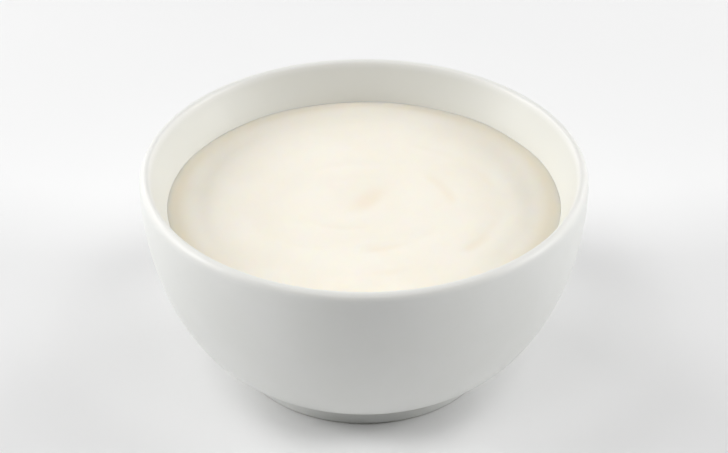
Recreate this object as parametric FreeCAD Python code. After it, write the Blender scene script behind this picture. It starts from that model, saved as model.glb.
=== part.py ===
import FreeCAD, Part
import math
import os

# A footed porcelain bowl with a rolled lip, filled with stirred yogurt.
# Millimetres, +Z up. The origin is the middle of the foot ring's underside.
# The bowl is one turned solid. The yogurt fills its hollow up to a level below the rim, so the
# two meet face to face along the inside wall, and its top carries a shallow spiral left by a spoon.

# Bowl: overall sizes
BOWL_RADIUS = 70.0          # widest outer radius, just under the lip
BOWL_HEIGHT = 69.4          # from the table to the top of the lip

# Bowl: foot
FOOT_RADIUS = 40.4          # outer radius of the foot ring
FOOT_HEIGHT = 6.9           # outer height of the foot ring
FOOT_RING_WIDTH = 4.6       # radial width of the ring
FOOT_RECESS_DEPTH = 3.5     # hollow inside the ring
FOOT_EDGE_ROUND = 0.8       # rounding of the ring's two bottom edges
FOOT_COVE = 1.2             # hollow rounding where the ring meets the belly
RECESS_CORNER_ROUND = 1.5   # rounding in the corner of the recess

# Bowl: belly and wall
BELLY_START_SLOPE = 11.0    # degrees above level, where the belly leaves the foot
BELLY_FULLNESS = 0.5        # share of each span over which the belly holds its end direction
BASE_THICKNESS = 6.1        # from the recess to the inside floor
FLOOR_RADIUS = 24.0         # flat middle of the inside floor
FLOOR_FULLNESS = 0.82       # how far the floor stays level before it turns up
WALL_FULLNESS = 0.37        # how far the wall stays steep before it turns in
WALL_THICKNESS = 8.0        # level thickness where the wall starts to thin towards the lip
WALL_SLOPE = 82.0           # degrees above level, inside, at that height
LIP_TAPER_HEIGHT = 14.4     # from the top of the lip down to that height

# Bowl: lip
LIP_THICKNESS = 3.7
LIP_CREST_SHARE = 0.57      # place of the lip's crest, across the lip from its outside
LIP_OUTER_ROUND = 3.0       # height of the rounding outside the crest
LIP_INNER_ROUND = 2.0       # height of the rounding inside the crest
LIP_INNER_SLOPE = 68.0      # degrees above level, inside, right under the lip

# Yogurt
YOGURT_BELOW_RIM = 12.9     # from the top of the lip down to where the yogurt meets the wall
EDGE_DROOP = 0.9            # the thick yogurt stands this much higher away from the wall
EDGE_DROOP_WIDTH = 4.0      # distance from the wall over which it mostly rises
SWIRL_DEPTH = 0.45          # deepest groove of the spiral
SWIRL_SPACING = 13.0        # between neighbouring turns
SWIRL_STRETCH = 1.18        # the spiral is wider along X by this factor
SWIRL_CENTRE_X = -2.3
SWIRL_START = 0.93          # turns by which the spiral is rotated
SWIRL_INNER_RADIUS = 8.0    # the spiral rises from nothing here
SWIRL_WALL_MARGIN = 6.0     # smooth border between the spiral and the wall
SWIRL_FADE = 9.0            # width over which the spiral fades in or out
SWIRL_DEEPEST_ANGLE = -40.0  # degrees about +Z, where the spoon left the deepest grooves
SWIRL_SHALLOW_SHARE = 0.45  # depth opposite that angle
DIMPLE_CENTRE = (2.2, 1.8)  # hollow in the middle, where the spoon was lifted
DIMPLE_DEPTH = 0.4
DIMPLE_HALF_LENGTH = 9.0
DIMPLE_HALF_WIDTH = 4.6
DIMPLE_ANGLE = 57.0         # degrees about +Z of the hollow's long direction
SURFACE_CELLS = 72          # cells along each side of the surface's grid
SURFACE_OVERHANG = 3.0      # reach of the surface past the wall before it is trimmed

# Derived sizes
ARC_PULL = 0.5523           # handle length that makes a Bezier quarter follow an ellipse
SHOULDER_HEIGHT = BOWL_HEIGHT - LIP_OUTER_ROUND
LIP_INNER_RADIUS = BOWL_RADIUS - LIP_THICKNESS
LIP_CREST_RADIUS = BOWL_RADIUS - LIP_CREST_SHARE * LIP_THICKNESS
LIP_INNER_HEIGHT = BOWL_HEIGHT - LIP_INNER_ROUND
TAPER_START_HEIGHT = BOWL_HEIGHT - LIP_TAPER_HEIGHT
RECESS_RADIUS = FOOT_RADIUS - FOOT_RING_WIDTH
FLOOR_HEIGHT = FOOT_RECESS_DEPTH + BASE_THICKNESS
YOGURT_LEVEL = BOWL_HEIGHT - YOGURT_BELOW_RIM


def point(radius, height):
    """A point of the turned outline, in the XZ plane."""
    return FreeCAD.Vector(radius, 0, height)


def direction(slope):
    """A unit direction of the outline, in degrees above level."""
    return point(math.cos(math.radians(slope)), math.sin(math.radians(slope)))


def curve(start, start_handle, end_handle, end):
    """A cubic Bezier curve that leaves and arrives along its two handles."""
    bezier = Part.BezierCurve()
    bezier.setPoles([start, start + start_handle, end + end_handle, end])
    return bezier


def line(start, end):
    return Part.LineSegment(start, end)


def rounded_corner(start, corner, end):
    """A quarter of an ellipse from start to end, inside the corner."""
    return curve(start, (corner - start) * ARC_PULL, (corner - end) * ARC_PULL, end)


def belly_curve():
    """The outside, from the foot's cove up to the widest place under the lip."""
    start = point(FOOT_RADIUS + FOOT_COVE, FOOT_HEIGHT)
    end = point(BOWL_RADIUS, SHOULDER_HEIGHT)
    start_reach = BELLY_FULLNESS * (end.x - start.x)
    end_reach = BELLY_FULLNESS * (end.z - start.z)
    return curve(start, direction(BELLY_START_SLOPE) * start_reach, point(0, -end_reach), end)


def radius_at(bezier, height):
    """The radius at which a rising curve reaches a height, found by halving."""
    low = bezier.FirstParameter
    high = bezier.LastParameter
    for _ in range(50):
        middle = (low + high) / 2
        if bezier.value(middle).z < height:
            low = middle
        else:
            high = middle
    return bezier.value(low).x


def inside_curves():
    """The inside, from the axis along the floor and up the wall to just under the lip."""
    floor_centre = point(0, FLOOR_HEIGHT)
    floor_edge = point(FLOOR_RADIUS, FLOOR_HEIGHT)
    taper_radius = radius_at(belly_curve(), TAPER_START_HEIGHT) - WALL_THICKNESS
    taper_start = point(taper_radius, TAPER_START_HEIGHT)
    lip_inside = point(LIP_INNER_RADIUS, LIP_INNER_HEIGHT)
    floor_reach = FLOOR_FULLNESS * (taper_radius - FLOOR_RADIUS)
    wall_reach = WALL_FULLNESS * (TAPER_START_HEIGHT - FLOOR_HEIGHT)
    taper_reach = (LIP_INNER_HEIGHT - TAPER_START_HEIGHT) / 3
    wall = curve(floor_edge, point(floor_reach, 0), direction(WALL_SLOPE) * -wall_reach, taper_start)
    taper = curve(
        taper_start,
        direction(WALL_SLOPE) * taper_reach,
        direction(LIP_INNER_SLOPE) * -taper_reach,
        lip_inside,
    )
    return [line(floor_centre, floor_edge), wall, taper]


def lip_curves():
    """The lip, from under it on the inside, over its crest, to the widest place outside."""
    inside = point(LIP_INNER_RADIUS, LIP_INNER_HEIGHT)
    crest = point(LIP_CREST_RADIUS, BOWL_HEIGHT)
    outside = point(BOWL_RADIUS, SHOULDER_HEIGHT)
    crest_reach = ARC_PULL * (crest.x - inside.x)
    inner_round = curve(
        inside,
        direction(LIP_INNER_SLOPE) * ARC_PULL * LIP_INNER_ROUND,
        point(-crest_reach, 0),
        crest,
    )
    outer_round = rounded_corner(crest, point(BOWL_RADIUS, BOWL_HEIGHT), outside)
    return [inner_round, outer_round]


def foot_curves():
    """The foot, from the belly down its outside, under the ring and across the recess."""
    belly_start = point(FOOT_RADIUS + FOOT_COVE, FOOT_HEIGHT)
    side_top = point(FOOT_RADIUS, FOOT_HEIGHT - FOOT_COVE)
    side_bottom = point(FOOT_RADIUS, FOOT_EDGE_ROUND)
    ring_outer = point(FOOT_RADIUS - FOOT_EDGE_ROUND, 0)
    ring_inner = point(RECESS_RADIUS + FOOT_EDGE_ROUND, 0)
    recess_bottom = point(RECESS_RADIUS, FOOT_EDGE_ROUND)
    recess_side_top = point(RECESS_RADIUS, FOOT_RECESS_DEPTH - RECESS_CORNER_ROUND)
    recess_roof_edge = point(RECESS_RADIUS - RECESS_CORNER_ROUND, FOOT_RECESS_DEPTH)
    return [
        rounded_corner(belly_start, point(FOOT_RADIUS, FOOT_HEIGHT), side_top),
        line(side_top, side_bottom),
        rounded_corner(side_bottom, point(FOOT_RADIUS, 0), ring_outer),
        line(ring_outer, ring_inner),
        rounded_corner(ring_inner, point(RECESS_RADIUS, 0), recess_bottom),
        line(recess_bottom, recess_side_top),
        rounded_corner(recess_side_top, point(RECESS_RADIUS, FOOT_RECESS_DEPTH), recess_roof_edge),
        line(recess_roof_edge, point(0, FOOT_RECESS_DEPTH)),
    ]


def turned_solid(curves):
    """The solid that a closed outline sweeps in one full turn about Z."""
    edges = [item.toShape() for item in curves]
    outline = Part.Wire(Part.sortEdges(edges)[0])
    return Part.Face(outline).revolve(FreeCAD.Vector(0, 0, 0), FreeCAD.Vector(0, 0, 1), 360)


def make_bowl():
    axis = line(point(0, FOOT_RECESS_DEPTH), point(0, FLOOR_HEIGHT))
    curves = inside_curves() + lip_curves() + [belly_curve()] + foot_curves() + [axis]
    return turned_solid(curves)


def make_hollow():
    """Everything inside the bowl, closed by a flat lid just under the lip."""
    lid = line(point(LIP_INNER_RADIUS, LIP_INNER_HEIGHT), point(0, LIP_INNER_HEIGHT))
    axis = line(point(0, LIP_INNER_HEIGHT), point(0, FLOOR_HEIGHT))
    return turned_solid(inside_curves() + [lid, axis])


def edge_height(x, y, wall_radius):
    """Height above the line where the yogurt meets the wall, rounded down towards it."""
    inward = wall_radius - math.hypot(x, y)
    return EDGE_DROOP * math.tanh(inward / EDGE_DROOP_WIDTH)


def smooth_step(value, start, width):
    """Rises smoothly from 0 at start to 1 at start + width."""
    share = min(max((value - start) / width, 0.0), 1.0)
    return share * share * (3 - 2 * share)


def swirl_height(x, y, wall_radius):
    """Height that the spiral left by the spoon adds to the surface, or takes from it."""
    across = (x - SWIRL_CENTRE_X) / SWIRL_STRETCH
    reach = math.hypot(across, y)
    angle = math.atan2(y, across)
    phase = reach / SWIRL_SPACING + angle / (2 * math.pi) - SWIRL_START
    groove = ((1 + math.cos(2 * math.pi * phase)) / 2) ** 2
    facing = (1 + math.cos(angle - math.radians(SWIRL_DEEPEST_ANGLE))) / 2
    strength = SWIRL_SHALLOW_SHARE + (1 - SWIRL_SHALLOW_SHARE) * facing**2
    fade_in = smooth_step(reach, SWIRL_INNER_RADIUS, SWIRL_FADE)
    fade_start = wall_radius - SWIRL_WALL_MARGIN - SWIRL_FADE
    fade_out = 1 - smooth_step(math.hypot(x, y), fade_start, SWIRL_FADE)
    return SWIRL_DEPTH * strength * (0.5 - groove) * fade_in * fade_out


def dimple_height(x, y):
    """Depth of the long hollow in the middle, as a height below zero."""
    turn = math.radians(DIMPLE_ANGLE)
    dx = x - DIMPLE_CENTRE[0]
    dy = y - DIMPLE_CENTRE[1]
    along = (dx * math.cos(turn) + dy * math.sin(turn)) / DIMPLE_HALF_LENGTH
    across = (dy * math.cos(turn) - dx * math.sin(turn)) / DIMPLE_HALF_WIDTH
    return -DIMPLE_DEPTH * math.exp(-(along**2 + across**2))


def surface_height(x, y, wall_radius):
    relief = swirl_height(x, y, wall_radius) + dimple_height(x, y)
    return YOGURT_LEVEL + edge_height(x, y, wall_radius) + relief


def make_air(wall_radius):
    """The space above the yogurt, whose underside is the stirred surface."""
    half_width = wall_radius + SURFACE_OVERHANG
    step = 2 * half_width / SURFACE_CELLS
    places = [-half_width + step * index for index in range(SURFACE_CELLS + 1)]
    surface = Part.BSplineSurface()
    surface.interpolate(
        [[FreeCAD.Vector(x, y, surface_height(x, y, wall_radius)) for y in places] for x in places]
    )
    return surface.toShape().extrude(FreeCAD.Vector(0, 0, BOWL_HEIGHT))


def make_yogurt():
    taper = inside_curves()[-1]
    wall_radius = radius_at(taper, YOGURT_LEVEL)
    return make_hollow().cut(make_air(wall_radius))


def largest_solid(shape):
    return max(shape.Solids, key=lambda solid: solid.Volume)


NODES = {
    "bowl": make_bowl,
    "yogurt": make_yogurt,
}

os.makedirs("parts", exist_ok=True)
for name, make in NODES.items():
    shape = largest_solid(make())
    shape.exportStep(f"parts/{name}.step")
    box = shape.BoundBox
    print(name, "valid", shape.isValid(), "volume", round(shape.Volume), "mm3")
    print("  from", round(box.XMin, 2), round(box.YMin, 2), round(box.ZMin, 2))
    print("  to", round(box.XMax, 2), round(box.YMax, 2), round(box.ZMax, 2))
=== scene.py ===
"""Looks for the bowl of yogurt: glazed porcelain, stirred yogurt and a white studio."""

import math

import bpy
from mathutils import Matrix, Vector, noise


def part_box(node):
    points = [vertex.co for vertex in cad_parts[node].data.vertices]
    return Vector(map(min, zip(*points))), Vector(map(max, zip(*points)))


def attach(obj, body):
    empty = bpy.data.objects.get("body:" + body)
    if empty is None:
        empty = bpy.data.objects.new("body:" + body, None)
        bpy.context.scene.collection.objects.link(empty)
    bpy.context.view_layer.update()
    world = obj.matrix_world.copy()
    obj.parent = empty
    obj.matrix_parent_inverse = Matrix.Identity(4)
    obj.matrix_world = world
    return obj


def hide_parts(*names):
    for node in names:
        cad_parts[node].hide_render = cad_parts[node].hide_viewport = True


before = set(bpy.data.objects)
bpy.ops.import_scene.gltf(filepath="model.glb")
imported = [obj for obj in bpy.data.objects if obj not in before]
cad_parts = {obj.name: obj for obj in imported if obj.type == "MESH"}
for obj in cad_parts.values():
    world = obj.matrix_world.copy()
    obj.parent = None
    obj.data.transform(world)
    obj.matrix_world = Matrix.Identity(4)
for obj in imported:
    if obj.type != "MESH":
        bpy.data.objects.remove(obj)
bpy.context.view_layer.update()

MM = 0.001

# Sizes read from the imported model, in metres
BOWL_LOW, BOWL_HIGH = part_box("bowl")
YOGURT_LOW, YOGURT_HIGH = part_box("yogurt")
BOWL_RADIUS = BOWL_HIGH.x
BOWL_HEIGHT = BOWL_HIGH.z
FLOOR_HEIGHT = YOGURT_LOW.z

# Yogurt, in millimetres: the CAD solid's stirred spiral, here broken up and with finer marks on it
YOGURT_BELOW_RIM = 12.9
EDGE_DROOP = 0.9
EDGE_DROOP_WIDTH = 4.0
SWIRL_DEPTH = 0.45
SWIRL_SPACING = 13.0
SWIRL_STRETCH = 1.18
SWIRL_CENTRE_X = -2.3
SWIRL_START = 0.93
SWIRL_INNER_RADIUS = 8.0
SWIRL_WALL_MARGIN = 6.0
SWIRL_FADE = 9.0
SWIRL_DEEPEST_ANGLE = -40.0
SWIRL_SHALLOW_SHARE = 0.45
SWIRL_LEAST_SHARE = 0.25    # where the ridges are most broken
SWIRL_PATCH_WIDTH = 15.0
SWIRL_PATCH_SEED = 31.0
SWIRL_PATCH_START = -0.25   # noise value above which a ridge starts to gain height
SWIRL_PATCH_FADE = 0.6
DIMPLE_CENTRE = (2.2, 1.8)
DIMPLE_DEPTH = 0.4
DIMPLE_HALF_LENGTH = 9.0
DIMPLE_HALF_WIDTH = 4.6
DIMPLE_ANGLE = 57.0
STREAK_HEIGHT = 0.035       # fine drawn-out marks that follow the spiral
STREAK_LENGTH = 26.0
STREAK_WIDTH = 2.6
SWELL_HEIGHT = 0.12         # slow unevenness of the whole surface
SWELL_WIDTH = 21.0
MENISCUS_HEIGHT = 0.45      # where the yogurt clings to the wall
MENISCUS_WIDTH = 0.9
MENISCUS_MEAN_SHARE = 0.65  # its height varies round the bowl about this share
MENISCUS_VARIATION = 0.9
MENISCUS_LEAST_SHARE = 0.15
MENISCUS_WAVES = 3.1        # higher for more ups and downs round the bowl
# painted shadow of the wall on the yogurt beside it, this wide
WALL_SHADOW_WIDTH = 9.0       # darker, warmer yogurt beside the wall
FLOOR_LIFT = 0.01           # the lowest ring stays this far above the bowl's inside floor
WALL_OVERLAP = 0.03         # the yogurt reaches this far into the glaze, so no gap shows

RING_SPREAD_POWER = 0.9     # under 1, so rings lie a little closer together near the wall
YOGURT_RINGS = 170
YOGURT_SEGMENTS = 360
YOGURT_SIDE_STEPS = 24

# Colours, linear
GLAZE = ((0.767, 0.773, 0.748), (0.78, 0.785, 0.764))
# painted light: a creamier tint inside the bowl above the yogurt, for light bounced off the yogurt
GLAZE_PAINTED_BOUNCE = (0.78, 0.778, 0.728)
# painted light: the lip's up-facing crest painted lighter, as if lit from above
GLAZE_CREST_PAINTED_LIGHT = (0.85, 0.848, 0.815)
CLAY = ((0.56, 0.55, 0.51), (0.68, 0.67, 0.63))
CREAM = ((0.895, 0.847, 0.745), (0.915, 0.868, 0.775))
# painted shade: darker, warmer cream for the shade in the stirred hollows
CREAM_PAINTED_SHADE_IN_HOLLOWS = (0.88, 0.8, 0.675)
# painted shadow: darker, warmer cream where the wall shades the yogurt
CREAM_PAINTED_WALL_SHADOW = (0.8, 0.74, 0.61)
PAPER = ((0.862, 0.862, 0.862), (0.87, 0.87, 0.87))

# Where the colours and the painted light and shade change, in millimetres
CLAY_TOP = 0.35             # bare clay on the foot ring up to this height
GLAZE_START = 0.75          # full glaze from this height
# where the painted yogurt bounce on the inside wall fades in and out
BOUNCE_TINT_BELOW_RIM = (19.0, 14.0)
BOUNCE_TINT_FROM_OUTSIDE = (4.5, 2.0)
# where the painted light on the lip's crest fades in and out
CREST_PAINTED_LIGHT_BELOW_RIM = (2.5, 0.3)
# painted shade in the yogurt's hollows is full and none at these depths
HOLLOW_SHADE_DEPTHS = (0.4, 0.05)  # fully and not at all in a hollow
# painted wall shadow on the yogurt, weaker at the front and back
WALL_SHADOW_FRONT_SHARE = 0.25  # strength of the wall band at the front and back

# Soft boxes, all at one distance: two low side lights, two low ones behind, and a high fill
LIGHT_DISTANCE = 1.4
LIGHT_SIZE = 0.5
LOW_LIGHT = 25.0            # degrees above level
HIGH_LIGHT = 60.0
SIDE_POWER = 8.9            # watts
BACK_POWER = SIDE_POWER / 2
FILL_POWER = SIDE_POWER * 0.27
LEFT_LIFT = 1.15            # the left is a little brighter, so the shadow falls to the right
BACKDROP_LIGHT = 0.88       # seen past the paper's edge only

CAMERA_DISTANCE = 12.13     # in bowl radii
CAMERA_PITCH = 33.36        # degrees below level
CAMERA_TARGET_HEIGHT = 0.681  # in bowl radii
CAMERA_LENS = 132.9
CAMERA_SENSOR = 36.0


def smooth_step(value, start, width):
    share = min(max((value - start) / width, 0.0), 1.0)
    return share * share * (3 - 2 * share)


def wall_radius(height):
    """Inside radius of the CAD bowl at a height, both in metres, found with a level ray."""
    hit, place, _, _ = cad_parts["bowl"].ray_cast(Vector((0, 0, height)), Vector((1, 0, 0)))
    if not hit:
        raise ValueError(f"the bowl has no wall at a height of {height}")
    return place.x


def swirl_place(x, y):
    """How far out along the spiral's oval a point lies, and its direction, in mm and radians."""
    across = (x - SWIRL_CENTRE_X) / SWIRL_STRETCH
    return math.hypot(across, y), math.atan2(y, across)


def brokenness(x, y):
    """Share of a ridge that is left, as the spoon's marks come and go."""
    patch = noise.noise(Vector((x, y, SWIRL_PATCH_SEED)) / SWIRL_PATCH_WIDTH)
    return SWIRL_LEAST_SHARE + (1 - SWIRL_LEAST_SHARE) * smooth_step(patch, SWIRL_PATCH_START, SWIRL_PATCH_FADE)


def swirl_height(x, y, edge):
    reach, angle = swirl_place(x, y)
    phase = reach / SWIRL_SPACING + angle / (2 * math.pi) - SWIRL_START
    groove = ((1 + math.cos(2 * math.pi * phase)) / 2) ** 2
    facing = (1 + math.cos(angle - math.radians(SWIRL_DEEPEST_ANGLE))) / 2
    strength = SWIRL_SHALLOW_SHARE + (1 - SWIRL_SHALLOW_SHARE) * facing**2
    fade_in = smooth_step(reach, SWIRL_INNER_RADIUS, SWIRL_FADE)
    fade_out = 1 - smooth_step(math.hypot(x, y), edge - SWIRL_WALL_MARGIN - SWIRL_FADE, SWIRL_FADE)
    return SWIRL_DEPTH * strength * (0.5 - groove) * fade_in * fade_out * brokenness(x, y)


def dimple_height(x, y):
    turn = math.radians(DIMPLE_ANGLE)
    dx = x - DIMPLE_CENTRE[0]
    dy = y - DIMPLE_CENTRE[1]
    along = (dx * math.cos(turn) + dy * math.sin(turn)) / DIMPLE_HALF_LENGTH
    across = (dy * math.cos(turn) - dx * math.sin(turn)) / DIMPLE_HALF_WIDTH
    return -DIMPLE_DEPTH * math.exp(-(along**2 + across**2))


def streak_height(x, y, edge):
    """Fine marks drawn out along the stirring direction, and a slow swell under them."""
    reach, angle = swirl_place(x, y)
    unwound = reach + SWIRL_SPACING * angle / (2 * math.pi)
    circle = Vector((math.cos(angle), math.sin(angle), 0)) * (reach / STREAK_LENGTH)
    streak = noise.noise(circle + Vector((0, 0, unwound / STREAK_WIDTH)))
    swell = noise.noise(Vector((x, y, 0)) / SWELL_WIDTH)
    fade = 1 - smooth_step(math.hypot(x, y), edge - 2 * SWIRL_WALL_MARGIN, 2 * SWIRL_WALL_MARGIN)
    return (STREAK_HEIGHT * streak + SWELL_HEIGHT * swell) * fade


def meniscus_height(distance, angle):
    """Rise of the edge where the yogurt clings to the wall, uneven round the bowl."""
    way = Vector((math.cos(angle), math.sin(angle), 0)) * MENISCUS_WAVES
    uneven = MENISCUS_MEAN_SHARE + MENISCUS_VARIATION * noise.noise(way)
    share = max(uneven, MENISCUS_LEAST_SHARE)
    return MENISCUS_HEIGHT * share * math.exp(-distance / MENISCUS_WIDTH)


def surface_height(x, y, edge):
    """Height of the yogurt's top above the line where it meets the wall, in mm."""
    inward = max(edge - math.hypot(x, y), 0.0)
    stirred = swirl_height(x, y, edge) + dimple_height(x, y) + streak_height(x, y, edge)
    rounded = EDGE_DROOP * math.tanh(inward / EDGE_DROOP_WIDTH)
    return stirred + rounded + meniscus_height(inward, math.atan2(y, x))


def new_mesh(name, points, faces):
    mesh = bpy.data.meshes.new(name)
    mesh.from_pydata([tuple(p) for p in points], [], faces)
    mesh.validate()
    mesh.update()
    mesh.shade_smooth()
    piece = bpy.data.objects.new(name, mesh)
    bpy.context.scene.collection.objects.link(piece)
    return piece


def ring_faces(first, second, count):
    """Quads between two rings of points, given by their first indices."""
    return [
        (first + i, first + (i + 1) % count, second + (i + 1) % count, second + i)
        for i in range(count)
    ]


def crease_ring(piece, first, count):
    """Marks a ring's edges sharp, so the faces on its two sides are shaded apart."""
    for edge in piece.data.edges:
        if all(first <= index < first + count for index in edge.vertices):
            edge.use_edge_sharp = True


def make_yogurt():
    """The yogurt as one closed mesh: its stirred top, and a body that fills the bowl."""
    level = BOWL_HEIGHT - YOGURT_BELOW_RIM * MM
    edge = wall_radius(level) / MM
    turns = [2 * math.pi * i / YOGURT_SEGMENTS for i in range(YOGURT_SEGMENTS)]
    points = [(0, 0, level + surface_height(0, 0, edge) * MM)]
    for ring in range(1, YOGURT_RINGS + 1):
        share = ring / YOGURT_RINGS
        spread = share**RING_SPREAD_POWER
        for turn in turns:
            radius = edge * spread
            x, y = radius * math.cos(turn), radius * math.sin(turn)
            z = level + surface_height(x, y, edge) * MM
            if ring == YOGURT_RINGS:
                radius = wall_radius(z) / MM + WALL_OVERLAP
                x, y = radius * math.cos(turn), radius * math.sin(turn)
            points.append((x * MM, y * MM, z))
    for step in range(1, YOGURT_SIDE_STEPS + 1):
        rise = 1 - math.sin(0.5 * math.pi * step / YOGURT_SIDE_STEPS)
        z = FLOOR_HEIGHT + max(rise * (level - FLOOR_HEIGHT), FLOOR_LIFT * MM)
        radius = wall_radius(z)
        for turn in turns:
            points.append((radius * math.cos(turn), radius * math.sin(turn), z))
    rings = YOGURT_RINGS + YOGURT_SIDE_STEPS
    faces = [(0, 1 + i, 1 + (i + 1) % YOGURT_SEGMENTS) for i in range(YOGURT_SEGMENTS)]
    for ring in range(rings - 1):
        outer = 1 + (ring + 1) * YOGURT_SEGMENTS
        faces += ring_faces(outer - YOGURT_SEGMENTS, outer, YOGURT_SEGMENTS)
    last = 1 + (rings - 1) * YOGURT_SEGMENTS
    faces.append(tuple(last + i for i in reversed(range(YOGURT_SEGMENTS))))
    faces = [tuple(reversed(face)) for face in faces[YOGURT_SEGMENTS:]] + faces[:YOGURT_SEGMENTS]
    piece = new_mesh("stirred_yogurt", points, faces)
    crease_ring(piece, 1 + (YOGURT_RINGS - 1) * YOGURT_SEGMENTS, YOGURT_SEGMENTS)
    return piece


class Nodes:
    """Short calls for building one material."""

    def __init__(self, name):
        self.material = bpy.data.materials.new(name)
        self.material.use_nodes = True
        self.tree = self.material.node_tree
        self.shader = self.tree.nodes["Principled BSDF"]

    def add(self, kind, **values):
        node = self.tree.nodes.new(kind)
        for key, value in values.items():
            setattr(node, key, value)
        return node

    def link(self, source, target):
        self.tree.links.new(source, target)

    def place(self):
        return self.add("ShaderNodeTexCoord").outputs["Object"]

    def axis(self, letter):
        """One coordinate of the shaded point, in metres."""
        node = self.add("ShaderNodeSeparateXYZ")
        self.link(self.place(), node.inputs["Vector"])
        return node.outputs[letter]

    def reach(self):
        """Distance of the shaded point from the bowl's axis, in metres."""
        flat = self.add("ShaderNodeCombineXYZ")
        self.link(self.axis("X"), flat.inputs["X"])
        self.link(self.axis("Y"), flat.inputs["Y"])
        node = self.add("ShaderNodeVectorMath", operation="LENGTH")
        self.link(flat.outputs["Vector"], node.inputs[0])
        return node.outputs["Value"]

    def absolute(self, value):
        node = self.add("ShaderNodeMath", operation="ABSOLUTE")
        self.link(value, node.inputs[0])
        return node.outputs["Value"]

    def times(self, first, second):
        node = self.add("ShaderNodeMath", operation="MULTIPLY")
        self.link(first, node.inputs[0])
        self.link(second, node.inputs[1])
        return node.outputs["Value"]

    def noise(self, per_metre, detail=3.0, roughness=0.5):
        node = self.add("ShaderNodeTexNoise")
        node.inputs["Scale"].default_value = per_metre
        node.inputs["Detail"].default_value = detail
        node.inputs["Roughness"].default_value = roughness
        self.link(self.place(), node.inputs["Vector"])
        return node.outputs["Fac"]

    def ramp(self, value, low, high, low_to=0.0, high_to=1.0):
        node = self.add("ShaderNodeMapRange", clamp=True, interpolation_type="SMOOTHSTEP")
        node.inputs["From Min"].default_value = low
        node.inputs["From Max"].default_value = high
        node.inputs["To Min"].default_value = low_to
        node.inputs["To Max"].default_value = high_to
        self.link(value, node.inputs["Value"])
        return node.outputs["Result"]

    def mix(self, share, first, second):
        node = self.add("ShaderNodeMix", data_type="RGBA")
        self.link(share, node.inputs["Factor"])
        colour_sockets = [socket for socket in node.inputs if socket.type == "RGBA"]
        for socket, colour in zip(colour_sockets, (first, second)):
            if isinstance(colour, tuple):
                socket.default_value = (*colour, 1.0)
            else:
                self.link(colour, socket)
        return next(socket for socket in node.outputs if socket.type == "RGBA")

    def bump(self, height, distance, strength=1.0, after=None):
        node = self.add("ShaderNodeBump")
        node.inputs["Strength"].default_value = strength
        node.inputs["Distance"].default_value = distance
        self.link(height, node.inputs["Height"])
        if after is not None:
            self.link(after, node.inputs["Normal"])
        return node.outputs["Normal"]

    def set(self, **values):
        for key, value in values.items():
            self.shader.inputs[key.replace("_", " ")].default_value = value


def painted_bounce_inside_lip(make):
    """One on the bowl's inside above the yogurt, where the glaze is painted creamier as light bounced off the
    yogurt.
    """
    low_edge, high_edge = [BOWL_HEIGHT - depth * MM for depth in BOUNCE_TINT_BELOW_RIM]
    inner_edge, outer_edge = [BOWL_RADIUS - depth * MM for depth in BOUNCE_TINT_FROM_OUTSIDE]
    high = make.ramp(make.axis("Z"), low_edge, high_edge)
    inward = make.ramp(make.reach(), inner_edge, outer_edge, 1.0, 0.0)
    return make.times(high, inward)


def porcelain():
    """White glaze with a faint orange-peel, and the bare clay of the foot ring's underside; painted light on
    the lip's crest and painted yogurt bounce on the inside wall.
    """
    make = Nodes("porcelain_glaze")
    mottled = make.ramp(make.noise(45), 0.35, 0.65)
    white = make.mix(mottled, *GLAZE)
    # painted light bounced off the yogurt onto the inside wall
    with_painted_bounce = make.mix(painted_bounce_inside_lip(make), white, GLAZE_PAINTED_BOUNCE)
    # painted light: lighter glaze on the lip's crest
    painted_light_start, painted_light_end = [BOWL_HEIGHT - depth * MM for depth in CREST_PAINTED_LIGHT_BELOW_RIM]
    crest_painted_light = make.ramp(make.axis("Z"), painted_light_start, painted_light_end)
    glaze = make.mix(crest_painted_light, with_painted_bounce, GLAZE_CREST_PAINTED_LIGHT)
    glazed = make.ramp(make.axis("Z"), CLAY_TOP * MM, GLAZE_START * MM)
    clay_grain = make.ramp(make.noise(2600, detail=5), 0.3, 0.7)
    clay = make.mix(clay_grain, *CLAY)
    make.link(make.mix(glazed, clay, glaze), make.shader.inputs["Base Color"])
    make.link(make.ramp(glazed, 0.0, 1.0, 0.75, 0.42), make.shader.inputs["Roughness"])
    peel = make.bump(make.noise(420, detail=2), 0.02 * MM)
    make.link(make.bump(make.noise(60, detail=1), 0.15 * MM, after=peel), make.shader.inputs["Normal"])
    make.set(IOR=1.5, Subsurface_Weight=0.12, Subsurface_Radius=(1.0, 0.95, 0.85))
    make.set(Subsurface_Scale=1.5 * MM)
    return make.material


def painted_wall_shadow(make):
    """One for the painted shadow of the wall on the yogurt beside it, strongest at the bowl's two sides."""
    edge = wall_radius(BOWL_HEIGHT - YOGURT_BELOW_RIM * MM)
    near_wall = make.ramp(make.reach(), edge - WALL_SHADOW_WIDTH * MM, edge)
    at_sides = make.ramp(make.absolute(make.axis("X")), 0.0, edge, WALL_SHADOW_FRONT_SHARE, 1.0)
    return make.times(near_wall, at_sides)


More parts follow.
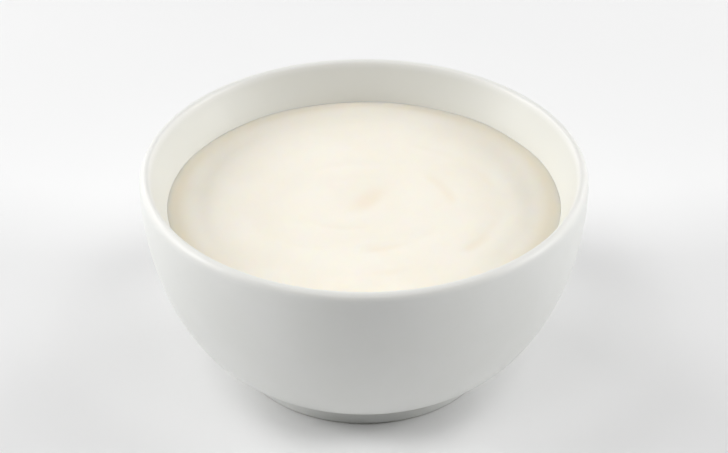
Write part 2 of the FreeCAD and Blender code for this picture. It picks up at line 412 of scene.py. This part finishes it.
def yogurt():
    """Cream-coloured, moist and slightly translucent, with painted shade, darker and warmer, in its hollows and
    beside the wall.
    """
    make = Nodes("yogurt_cream")
    cloudy = make.ramp(make.noise(38, detail=4), 0.35, 0.65)
    cream = make.mix(cloudy, *CREAM)
    middle = BOWL_HEIGHT - (YOGURT_BELOW_RIM - EDGE_DROOP) * MM
    deep, shallow = [middle - depth * MM for depth in HOLLOW_SHADE_DEPTHS]
    # painted shade in the hollows, by depth below the middle of the top
    painted_shade_in_hollows = make.ramp(make.axis("Z"), deep, shallow, 1.0, 0.0)
    stirred = make.mix(painted_shade_in_hollows, cream, CREAM_PAINTED_SHADE_IN_HOLLOWS)
    # painted shadow of the wall on the yogurt beside it
    colour = make.mix(painted_wall_shadow(make), stirred, CREAM_PAINTED_WALL_SHADOW)
    make.link(colour, make.shader.inputs["Base Color"])
    make.link(make.ramp(make.noise(160), 0.3, 0.7, 0.5, 0.58), make.shader.inputs["Roughness"])
    grain = make.bump(make.noise(1500, detail=3), 0.012 * MM)
    make.link(make.bump(make.noise(240, detail=2), 0.03 * MM, after=grain), make.shader.inputs["Normal"])
    make.set(IOR=1.38, Specular_IOR_Level=0.25)
    make.set(Subsurface_Weight=0.6, Subsurface_Radius=(1.0, 0.8, 0.5), Subsurface_Scale=3 * MM)
    return make.material


def paper():
    make = Nodes("studio_paper")
    tone = make.ramp(make.noise(9, detail=2), 0.3, 0.7)
    make.link(make.mix(tone, *PAPER), make.shader.inputs["Base Color"])
    make.set(Roughness=0.9, Specular_IOR_Level=0.1)
    return make.material


def make_floor():
    half = 3.0
    corners = [(-half, -half, 0), (half, -half, 0), (half, half, 0), (-half, half, 0)]
    floor = new_mesh("studio_floor", corners, [(0, 1, 2, 3)])
    floor.data.materials.append(paper())


def soft_light(name, azimuth, elevation, power):
    """A soft box that looks at the bowl. The azimuth is in degrees about +Z, from +X."""
    data = bpy.data.lights.new(f"{name}_{azimuth}", "AREA")
    data.size = LIGHT_SIZE
    up, around = math.radians(elevation), math.radians(azimuth)
    level = Vector((math.cos(around), math.sin(around), 0)) * math.cos(up)
    data.energy = power * (LEFT_LIFT if level.x < 0 else 1.0)
    lamp = bpy.data.objects.new(data.name, data)
    lamp.location = LIGHT_DISTANCE * (level + Vector((0, 0, math.sin(up))))
    aim = Vector((0, 0, BOWL_HEIGHT / 2)) - lamp.location
    lamp.rotation_euler = aim.to_track_quat("-Z", "Y").to_euler()
    bpy.context.scene.collection.objects.link(lamp)


def make_lights():
    for azimuth in (0, 180):
        soft_light("side_light", azimuth, LOW_LIGHT, SIDE_POWER)
    for azimuth in (45, 135):
        soft_light("back_light", azimuth, LOW_LIGHT, BACK_POWER)
    for azimuth in (0, 180, 240, 300):
        soft_light("fill_light", azimuth, HIGH_LIGHT, FILL_POWER)


def make_backdrop():
    """White beyond the paper, which lights nothing."""
    world = bpy.data.worlds.new("studio")
    world.use_nodes = True
    tree = world.node_tree
    backdrop = tree.nodes["Background"]
    backdrop.inputs["Color"].default_value = (1.0, 1.0, 1.0, 1.0)
    seen = tree.nodes.new("ShaderNodeLightPath").outputs["Is Camera Ray"]
    strength = tree.nodes.new("ShaderNodeMath")
    strength.operation = "MULTIPLY"
    strength.inputs[1].default_value = BACKDROP_LIGHT
    tree.links.new(seen, strength.inputs[0])
    tree.links.new(strength.outputs["Value"], backdrop.inputs["Strength"])
    bpy.context.scene.world = world


def make_camera():
    data = bpy.data.cameras.new("camera")
    data.lens = CAMERA_LENS
    data.sensor_width = CAMERA_SENSOR
    camera = bpy.data.objects.new("camera", data)
    pitch = math.radians(CAMERA_PITCH)
    distance = CAMERA_DISTANCE * BOWL_RADIUS
    target = Vector((0, 0, CAMERA_TARGET_HEIGHT * BOWL_RADIUS))
    camera.location = target + distance * Vector((0, -math.cos(pitch), math.sin(pitch)))
    camera.rotation_euler = (target - camera.location).to_track_quat("-Z", "Y").to_euler()
    bpy.context.scene.collection.objects.link(camera)
    bpy.context.scene.camera = camera


def dress_bowl():
    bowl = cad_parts["bowl"]
    bowl.data.materials.clear()
    bowl.data.materials.append(porcelain())


def dress_yogurt():
    piece = make_yogurt()
    piece.data.materials.append(yogurt())
    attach(piece, "root")
    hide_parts("yogurt")


bpy.context.scene.view_settings.view_transform = "Standard"
make_camera()
make_floor()
make_lights()
make_backdrop()
dress_bowl()
dress_yogurt()
